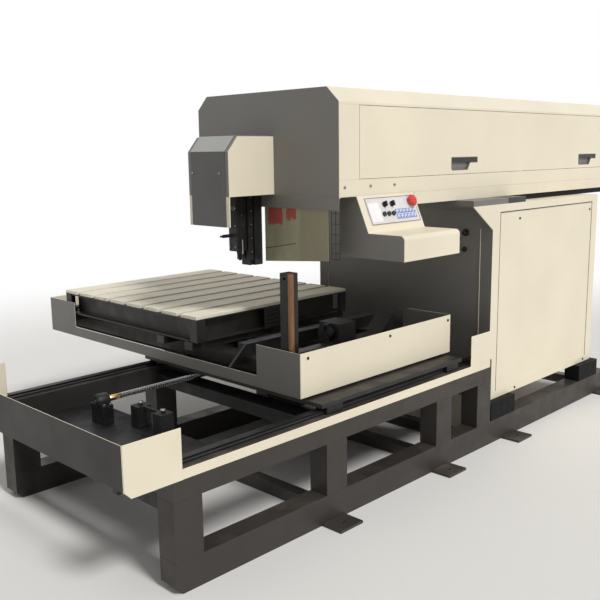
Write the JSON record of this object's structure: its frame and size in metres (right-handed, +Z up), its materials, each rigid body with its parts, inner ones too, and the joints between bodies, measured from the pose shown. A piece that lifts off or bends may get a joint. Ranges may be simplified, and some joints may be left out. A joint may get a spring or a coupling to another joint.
{
  "type": "laser cutting machine",
  "caption": "Laser cutting machine: welded bed with a two-axis slat table, side cabinet, long hood over the laser source, hanging cutting head and sloped console.",
  "frame": {"origin": "on the floor, at the centre of the outer anchor bolts of the bed", "axes": "+X along the bed towards the cabinet, +Y from the operator side to the rear, +Z up"},
  "size_m": [4.526, 2.346, 1.861],
  "materials": {
    "frame_paint": "dark brown paint, satin",
    "cream_paint": "cream paint, satin",
    "grey_paint": "mid grey paint, satin",
    "guard_paint": "cream and grey paint, satin",
    "rail_steel": "ground steel",
    "black_parts": "black paint",
    "black_plastic": "matte black",
    "latch_grey": "matte grey",
    "bright_metal": "machined",
    "slat_board": "pale board",
    "post_bronze": "bronze paint",
    "end_paint": "cream and dark grey paint, satin",
    "film_plate": "plate under protective film",
    "keypad": "printed panel film",
    "stop_red": "glossy red"
  },
  "bodies": {
    "machine": {"bottom_rails": "frame_paint", "frame_posts": "frame_paint", "bed_beams": "frame_paint", "bottom_cross_tubes": "frame_paint", "cross_members": "black_parts", "anchor_feet": "frame_paint", "trim_strips": "cream_paint", "end_guard": "end_paint", "x_guide_rails": "rail_steel", "x_screw_bearings": "black_parts", "x_motor": "black_parts", "cabinet_frame": "guard_paint", "cabinet_panels": "cream_paint", "cabinet_side_panels": "grey_paint", "cabinet_blocks": "black_parts", "power_unit": "grey_paint", "hood_tray": "cream_paint", "hood_roof": "cream_paint", "hood_side_sheets": "cream_paint", "hood_end_panels": "grey_paint", "door_pivots": "rail_steel", "laser_tube": "bright_metal", "tube_cradles": "black_parts", "head_cover_sides": "cream_paint", "head_cover_front": "grey_paint", "z_mount": "black_parts", "bending_mirror": "bright_metal", "arm_plate": "film_plate", "console_shell": "cream_paint", "console_sides": "grey_paint", "keypad_plate": "keypad"},
    "z_head": {"z_slide": "black_parts", "focus_tube": "black_parts", "nozzle": "black_parts"},
    "clamp_knob": {"clamp_knob": "black_plastic"},
    "hood_door": {"hood_door": "cream_paint", "latch_cups": "latch_grey"},
    "latch_left": {"latch_paddle_left": "black_plastic"},
    "latch_right": {"latch_paddle_right": "black_plastic"},
    "x_carriage": {"saddle": "frame_paint", "bearing_blocks": "black_parts", "y_screw_bearings": "frame_paint", "y_motor": "black_parts"},
    "x_screw": {"x_screw": "rail_steel"},
    "y_screw": {"y_screw": "rail_steel"},
    "y_stage": {"stage_frame": "frame_paint", "stage_guards": "guard_paint", "y_guide_rails": "rail_steel", "table_frame": "frame_paint", "table_slats": "slat_board", "corner_post": "black_parts", "post_rod": "post_bronze", "round_fixture": "black_parts"},
    "chuck": {"chuck": "rail_steel"},
    "selector_left": {"selector_left": "black_plastic"},
    "selector_right": {"selector_right": "black_plastic"},
    "button_left": {"button_left": "black_plastic"},
    "button_middle": {"button_middle": "black_plastic"},
    "button_right": {"button_right": "black_plastic"},
    "emergency_stop": {"emergency_stop": "stop_red"}
  },
  "joints": [
    {"name": "x_travel", "type": "slide", "parent": "machine", "child": "x_carriage", "axis": [1, 0, 0], "range_m": [-0.72, 0]},
    {"name": "x_screw_turn", "type": "hinge", "parent": "machine", "child": "x_screw", "pos_m": [-1.866, 0.273, 0.475], "axis": [1, 0, 0], "range_deg": [-6490, 10]},
    {"name": "y_travel", "type": "slide", "parent": "x_carriage", "child": "y_stage", "axis": [0, 1, 0], "range_m": [-0.85, 0]},
    {"name": "y_screw_turn", "type": "hinge", "parent": "x_carriage", "child": "y_screw", "pos_m": [-0.815, -0.515, 0.567], "axis": [0, 1, 0], "range_deg": [-7660, 10]},
    {"name": "z_travel", "type": "slide", "parent": "machine", "child": "z_head", "axis": [0, 0, 1], "range_m": [-0.22, 0.02]},
    {"name": "clamp_turn", "type": "hinge", "parent": "z_head", "child": "clamp_knob", "pos_m": [-1.236, 0.041, 1.19625], "axis": [1, 0, 0], "range_deg": [0, 180]},
    {"name": "door_lift", "type": "hinge", "parent": "machine", "child": "hood_door", "pos_m": [-0.946, -0.5085, 1.772], "axis": [-1, 0, 0], "range_deg": [0, 95]},
    {"name": "latch_left_pull", "type": "hinge", "parent": "hood_door", "child": "latch_left", "pos_m": [-0.105, -0.511, 1.539], "axis": [-1, 0, 0], "range_deg": [0, 35], "stiffness_Nm_per_rad": 0.6},
    {"name": "latch_right_pull", "type": "hinge", "parent": "hood_door", "child": "latch_right", "pos_m": [1.301, -0.511, 1.539], "axis": [-1, 0, 0], "range_deg": [0, 35], "stiffness_Nm_per_rad": 0.6},
    {"name": "chuck_spin", "type": "hinge", "parent": "y_stage", "child": "chuck", "pos_m": [-0.924, -0.305, 0.727], "axis": [1, 0, 0], "continuous": true},
    {"name": "selector_left_turn", "type": "hinge", "parent": "machine", "child": "selector_left", "pos_m": [-0.799, -0.53488, 1.33864], "axis": [0, -0.9159, 0.4014], "range_deg": [-45, 45]},
    {"name": "selector_right_turn", "type": "hinge", "parent": "machine", "child": "selector_right", "pos_m": [-0.7444, -0.53488, 1.33864], "axis": [0, -0.9159, 0.4014], "range_deg": [-45, 45]},
    {"name": "button_left_press", "type": "slide", "parent": "machine", "child": "button_left", "axis": [0, -0.9159, 0.4014], "range_m": [-0.003, 0], "stiffness_N_per_m": 300},
    {"name": "button_middle_press", "type": "slide", "parent": "machine", "child": "button_middle", "axis": [0, -0.9159, 0.4014], "range_m": [-0.003, 0], "stiffness_N_per_m": 300},
    {"name": "button_right_press", "type": "slide", "parent": "machine", "child": "button_right", "axis": [0, -0.9159, 0.4014], "range_m": [-0.003, 0], "stiffness_N_per_m": 300},
    {"name": "emergency_press", "type": "slide", "parent": "machine", "child": "emergency_stop", "axis": [0, -0.9159, 0.4014], "range_m": [-0.006, 0]}
  ],
  "couplings": [
    {"joint": "x_screw_turn", "follows": "x_travel", "rad_per_m": 157.08},
    {"joint": "y_screw_turn", "follows": "y_travel", "rad_per_m": 157.08}
  ]
}
